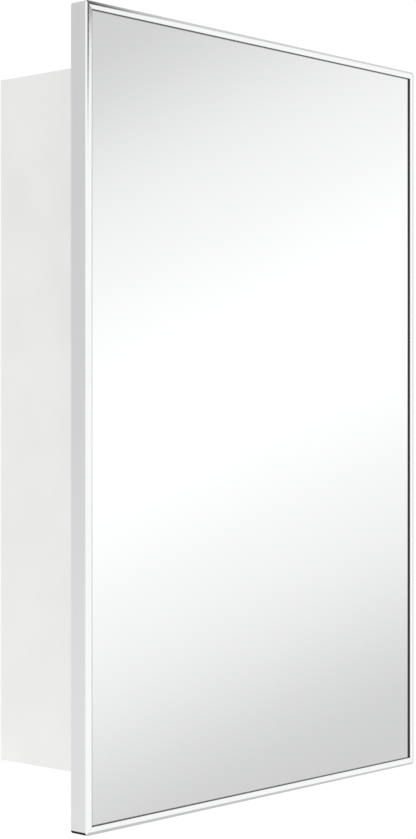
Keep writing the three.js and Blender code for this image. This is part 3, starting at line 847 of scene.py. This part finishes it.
def make_back_pan():
    """The door's steel back, one sheet with a raised field pressed into it."""
    low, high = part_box("door_back_pan")
    centre_z = (low.z + high.z) / 2
    half_x, half_z = high.x, (high.z - low.z) / 2
    rise = high.y - low.y - PAN_SHEET
    flat = high.y - rise
    field_x, field_z = PAN_FIELD

    def ring(beyond, radius, y):
        """A ring that lies beyond the edge of the field, or within it where that is less than 0."""
        return rounded_ring(field_x + beyond, field_z + beyond, centre_z, radius, y)

    rings = [rounded_ring(half_x, half_z, centre_z, 0.5 * MM, flat)]
    rings.append(ring(PAN_SLOPE + 2 * MM, 26 * MM, flat))
    steps = 10
    for i in range(steps + 1):
        t = i / steps
        lift = rise * (t * t * (3 - 2 * t))
        inset = PAN_SLOPE * (1 - t)
        rings.append(ring(inset - PAN_SLOPE, PAN_CORNER + inset, flat + lift))
    rings.append(ring(-PAN_SLOPE - 3 * MM, 12 * MM, flat + rise))
    shape = bmesh.new()
    rows = [[shape.verts.new(point) for point in points] for points in rings]
    skin_rings(shape, rows)
    shape.faces.new(rows[-1])
    bmesh.ops.recalc_face_normals(shape, faces=shape.faces)
    if shape.faces[0].normal.y < 0:
        bmesh.ops.reverse_faces(shape, faces=shape.faces)
    piece = as_piece("door_back_pan_pressing", shape)
    wall = piece.modifiers.new("sheet", "SOLIDIFY")
    wall.thickness = PAN_SHEET
    wall.offset = -1
    ease_edges(piece, 0.2 * MM)
    plain_mesh(piece)
    settle(piece, WHITE, ["door_back_pan"])


# ---- box ----

SHEET = 1.2 * MM
FOLD = 1.7 * MM  # outside radius of a fold
SHEET_EDGE = 0.3 * MM
ALONG_X, ALONG_Y, ALONG_Z = range(3)


def make_box():
    side_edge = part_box("side_panel_left")[0]
    mouth = side_edge.y
    for name, side in (("left", -1), ("right", 1)):
        x = side * abs(side_edge.x)
        inner = (x - side * SHEET, mouth + SHEET)
        folds = [(ALONG_Z, (x, mouth), FOLD), (ALONG_Z, inner, FOLD - SHEET)]
        eased(f"side_panel_{name}_sheet", f"side_panel_{name}", WHITE, SHEET_EDGE, folds)
    top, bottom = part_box("top_panel")[1].z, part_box("bottom_panel")[0].z
    for name, z, side in (("top", top, 1), ("bottom", bottom, -1)):
        inner = (mouth + SHEET, z - side * SHEET)
        folds = [(ALONG_X, (mouth, z), FOLD), (ALONG_X, inner, FOLD - SHEET)]
        eased(f"{name}_panel_sheet", f"{name}_panel", WHITE, SHEET_EDGE, folds)
    folds = [(ALONG_Z, (corner.x, 0), SHEET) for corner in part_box("back_panel")]
    eased("back_panel_sheet", "back_panel", WHITE, SHEET_EDGE, folds)
    eased("hanging_rail_strip", "hanging_rail", ZINC, SHEET_EDGE)


def make_shelves():
    for level in ("lower", "upper"):
        eased(f"shelf_{level}_glass", f"shelf_{level}", GLASS, 0.6 * MM, segments=3)
    standards, clips = standard_tree(), clip_tree()
    for side, facing in (("left", 1), ("right", -1)):
        turn = 0.0 if facing > 0 else math.pi
        for place in ("back", "front"):
            node = f"shelf_standard_{side}_{place}"
            low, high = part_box(node)
            base = low.x if facing > 0 else high.x
            middle_y = (low.y + high.y) / 2
            grow(f"{node}_channel", standards, ZINC, [node], place=(base, middle_y, 0.0), turn=turn)
            for level in ("lower", "upper"):
                node = f"shelf_clip_{level}_{side}_{place}"
                low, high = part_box(node)
                back = low.x + HOOK_DEEP if facing > 0 else high.x - HOOK_DEEP
                grow(f"{node}_bracket", clips, ZINC, [node], place=(back, middle_y, high.z), turn=turn)


# ---- hinge, screws, catch ----

def make_hinge():
    low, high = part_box("hinge_pin")
    pin = (low + high) / 2
    to_pin = Matrix.Translation((pin.x, pin.y, 0))
    leaves = hinge_leaf_tree()
    half_knuckle = KNUCKLE_PITCH / 4 - KNUCKLE_GAP / 2
    for body, count, side in (("cabinet", 11, 1.0), ("door", 10, -1.0)):
        node = f"hinge_leaf_{body}"
        foot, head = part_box(node)
        first = -(count - 1) * KNUCKLE_PITCH / 2 - half_knuckle
        leaf = grow(f"{node}_rolled", leaves, ZINC, [node], knuckles=count, first=first, side=side,
                    long=head.z - foot.z)
        leaf.data.transform(to_pin)
    rod = grow("hinge_pin_rod", pin_tree(), ZINC, ["hinge_pin"], long=high.z - low.z)
    rod.data.transform(to_pin)


def screw_row(name, tree, group, outward):
    """One piece for a row of screws. Outward is the side that their heads are on, along Y."""
    boxes = [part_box(n) for n in group]
    centres = [(low + high) / 2 for low, high in boxes]
    low, high = boxes[0]
    seat = low.y + HEAD_HEIGHT if outward < 0 else high.y - HEAD_HEIGHT
    step = (centres[-1] - centres[0]) / (len(group) - 1)
    turn = 0.0 if outward < 0 else math.pi
    grow(name, tree, ZINC, group, count=len(group), first=(centres[0].x, seat, centres[0].z),
         step=(0.0, 0.0, step.z), turn=(0.0, 0.0, turn), length=high.y - low.y - HEAD_HEIGHT)


def make_screws():
    tree = screw_tree()
    five = range(1, 6)
    screw_row("hinge_screws_cabinet", tree, [f"hinge_screw_cabinet_{i}" for i in five], -1)
    screw_row("hinge_screws_door", tree, [f"hinge_screw_door_{i}" for i in five], 1)
    screw_row("catch_screws", tree, ["catch_screw_lower", "catch_screw_upper"], -1)
    screw_row("strike_screws", tree, ["strike_screw_lower", "strike_screw_upper"], 1)


def make_catch():
    eased("catch_housing_moulding", "catch_housing", NYLON, 0.5 * MM, segments=3)
    eased("catch_magnet_block", "catch_magnet", MAGNET, 0.2 * MM)
    low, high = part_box("strike_plate")
    corners = [(ALONG_Y, (x, z), 2 * MM) for x in (low.x, high.x) for z in (low.z, high.z)]
    eased("strike_plate_pressing", "strike_plate", ZINC, 0.25 * MM, corners)
    bumpers = bumper_tree()
    for where in ("left_lower", "left_upper", "middle_lower", "middle_upper"):
        low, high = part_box(f"door_bumper_{where}")
        middle = (low + high) / 2
        grow(f"door_bumper_{where}_button", bumpers, RUBBER, [f"door_bumper_{where}"],
             place=(middle.x, high.y, middle.z), tall=high.y - low.y, radius=(high.x - low.x) / 2)


def make_mirror():
    eased("mirror_glass_pane", "mirror_glass", MIRROR, 0.3 * MM)
    eased("glazing_bead_strip", "glazing_bead", BEAD, 0.05 * MM)


def dress_hidden_nodes():
    """Nodes whose CAD shape is right keep it, and get a worked finish."""
    steel = [name for name in nodes if name.startswith("corner_key")] + ["hinge_stiffener"]
    for name in [*steel, "door_filler"]:
        for slot in nodes[name].material_slots:
            slot.material = ZINC if name in steel else BOARD


# ---- studio ----

CAMERA_PLACE = Vector((-1.2015, -1.1480, 0.0004))
CAMERA_AIM = Vector((0.7446, 0.6675, 0.0))
CAMERA_LENS = 83.70


def make_camera():
    data = bpy.data.cameras.new("camera")
    data.lens = CAMERA_LENS
    data.sensor_width = 36
    data.clip_start, data.clip_end = 0.05, 50
    camera = bpy.data.objects.new("camera", data)
    camera.location = CAMERA_PLACE
    camera.rotation_mode = "QUATERNION"
    camera.rotation_quaternion = CAMERA_AIM.to_track_quat("-Z", "Y")
    scene.collection.objects.link(camera)
    scene.camera = camera


def make_floor():
    radius, level, sides = 4.5, -1.6, 96
    shape = bmesh.new()
    bmesh.ops.create_circle(shape, cap_ends=True, segments=sides, radius=radius)
    bmesh.ops.translate(shape, verts=shape.verts, vec=(0, 0, level))
    floor = new_piece("studio_floor", shape)
    f = Finish("pale_studio_floor")
    tone = f.blend(f.noise(300, 2), grey(0.90), grey(0.93))
    floor.data.materials.append(f.done(Base_Color=tone, Roughness=0.9))
    floor.visible_glossy = False


# Levels of light that shiny surfaces see. Everything else gets DULL_LEVEL, and the background is a little
# over white.
DULL_LEVEL = 0.915
BACKGROUND_LEVEL = 1.02
WALL_LEVEL = 1.18
ABOVE_DROP, BELOW_DROP, RIGHT_DROP = 0.40, 0.50, 0.26
LEFT_WALL = ((0.0, 0.93), (0.3, 0.90), (0.4, 0.845), (0.5, 0.795), (0.7, 0.76), (1.0, 0.74))
LEFT_WALL_HALF_TALL = 0.3
# The window is brightest along a slanted line and falls off to both sides: how far from it, and the level.
WINDOW_FALL = ((0.0, 1.06), (0.04, 1.0), (0.061, 0.965), (0.077, 0.939), (0.10, 0.905), (0.128, 0.855),
               (0.152, 0.79), (0.175, 0.72), (0.198, 0.66), (0.225, 0.625), (0.27, 0.66), (0.5, 1.05))
WINDOW_REACH = 0.5
WINDOW_MIDDLE = 0.0129
WINDOW_SLANT = 0.478
WINDOW_GAIN = 1.2
SILVER_LEVEL = 0.92


class Tent(NodeMaker):
    """The light all round. Forward is where the mirror sends the camera's view, and p and q are places
    across and up on a screen one metre out that way."""

    def __init__(self, tree):
        super().__init__(tree)
        direction = self.node("ShaderNodeTexCoord", output="Generated")
        self.x = self.node("ShaderNodeSeparateXYZ", None, {0: direction})
        self.y, self.z = self.x.beside("Y"), self.x.beside("Z")
        away, side = CAMERA_AIM.x, CAMERA_AIM.y
        self.forward = self.x * away - self.y * side
        ahead = self.maths("MAXIMUM", self.forward, 0.05)
        self.p = (self.x * side + self.y * away) / ahead
        self.q = self.z / ahead

    def levels(self, stops, place):
        return self.node("ShaderNodeValToRGB", {"stops": stops}, {"Fac": place})

    def walls(self):
        """White walls, dimmer above, below and right of the window, and a grey one behind the camera."""
        above = self.ramp(self.z, 0.34, 0.42) * ABOVE_DROP
        below = self.ramp(self.z * -1, 0.34, 0.42) * BELOW_DROP
        right = self.ramp(self.p, 0.28, 0.38) * self.ramp(self.forward, 0.3, 0.6) * RIGHT_DROP
        level = WALL_LEVEL - above - below - right
        left = self.ramp(self.forward * -1, 0.75, 0.95)
        left_level = self.levels(LEFT_WALL, (self.z / LEFT_WALL_HALF_TALL + 1) * 0.5)
        return level * (1 - left) + left_level * left

    def upper_gap(self):
        """A dark gap up on the left, which the stepped face shows on the left stile and the top rail."""
        p, z = self.p, self.z
        corner = self.ramp(z, 0.2025, 0.2045) * 0.07
        beside_stile = 1 - self.ramp(p - z * 1.1 - corner, -0.455, -0.435)
        beside_stile = beside_stile * (1 - self.ramp(z, 0.25, 0.29))
        slanted = p - z * 0.67
        over_rail = self.ramp(z, 0.31, 0.33) * (1 - self.ramp(slanted, -0.237, -0.226))
        over_rail = over_rail * (1 - self.ramp(z, 0.43, 0.45) * self.ramp(slanted, -0.252, -0.245))
        gap = self.maths("MAXIMUM", beside_stile, over_rail) * self.ramp(p, -0.49, -0.44)
        return gap * self.ramp(z, 0.135, 0.19) * (1 - self.ramp(z, 0.6, 0.7)) * (self.forward > 0.05)

    def lower_gap(self):
        """A dark gap under the wall behind the object, which rounded lower corners show."""
        down = self.z * -1
        under = self.ramp(down, 0.36, 0.42) * self.ramp(self.y, 0.25, 0.40)
        low_back = self.ramp(down, 0.198, 0.212) * self.ramp(self.y, 0.80, 0.90)
        return self.maths("MAXIMUM", under, low_back)

    def window(self):
        """How much of the window there is, and its level. It has a twin straight before the mirror."""
        p, q = self.p, self.q
        twin = self.ramp(self.y * -1, 0.968, 0.985)
        off_line = abs(q - (WINDOW_MIDDLE + p * WINDOW_SLANT)) * (1 - twin)
        off_line = off_line + abs(self.z + 0.05 - self.x * WINDOW_SLANT) * twin * 1.8
        stops = [(place / WINDOW_REACH, level / SILVER_LEVEL / WINDOW_GAIN) for place, level in WINDOW_FALL]
        level = self.levels(stops, off_line * (1 / WINDOW_REACH)) * WINDOW_GAIN
        there = self.ramp(self.forward, 0.80, 0.90) * self.ramp(p, -0.15, -0.085)
        there = there * (1 - self.ramp(p, 0.13, 0.19))
        there = there * (1 - self.ramp(abs(q) / (0.199 - p * 0.223), 1.06, 1.4))
        return self.maths("MAXIMUM", there, twin), level


def make_world():
    """A white tent with a soft bright window before the mirror, a grey wall and two dark gaps."""
    world = bpy.data.worlds.new("white_tent")
    world.use_nodes = True
    world.node_tree.nodes.clear()
    tent = Tent(world.node_tree)
    level = tent.walls() * (1 - tent.upper_gap() * 0.98) * (1 - tent.lower_gap() * 0.95)
    window, window_level = tent.window()
    reflected = level * (1 - window) + window_level * window
    seen = tent.node("ShaderNodeLightPath", output="Is Camera Ray")
    glossy = seen.beside("Is Glossy Ray")
    elsewhere = glossy * reflected + (1 - glossy) * DULL_LEVEL
    strength = seen * BACKGROUND_LEVEL + (1 - seen) * elsewhere
    light = tent.node("ShaderNodeBackground", None, {"Color": (1, 1, 1, 1), "Strength": strength})
    tent.node("ShaderNodeOutputWorld", None, {"Surface": light})
    scene.world = world


LAMP_PLACE = Vector((-1.1, -0.1, -0.75))
LAMP_TARGET = Vector((-0.17, -0.06, -0.1))
LAMP_WATTS = 2.6


def make_lamp():
    """A soft panel low on the left, which lifts the lower part of the box's side."""
    data = bpy.data.lights.new("low_panel", "AREA")
    data.shape = "RECTANGLE"
    data.size, data.size_y = 0.9, 0.6
    data.energy = LAMP_WATTS
    lamp = bpy.data.objects.new("low_panel", data)
    lamp.location = LAMP_PLACE
    lamp.rotation_mode = "QUATERNION"
    lamp.rotation_quaternion = (LAMP_TARGET - LAMP_PLACE).to_track_quat("-Z", "Y")
    lamp.visible_glossy = False
    lamp.visible_camera = False
    scene.collection.objects.link(lamp)


make_door_frame()
make_mirror()
make_back_pan()
make_box()
make_shelves()
make_hinge()
make_screws()
make_catch()
dress_hidden_nodes()
make_floor()
make_world()
make_lamp()
make_camera()
scene.view_settings.view_transform = "Standard"
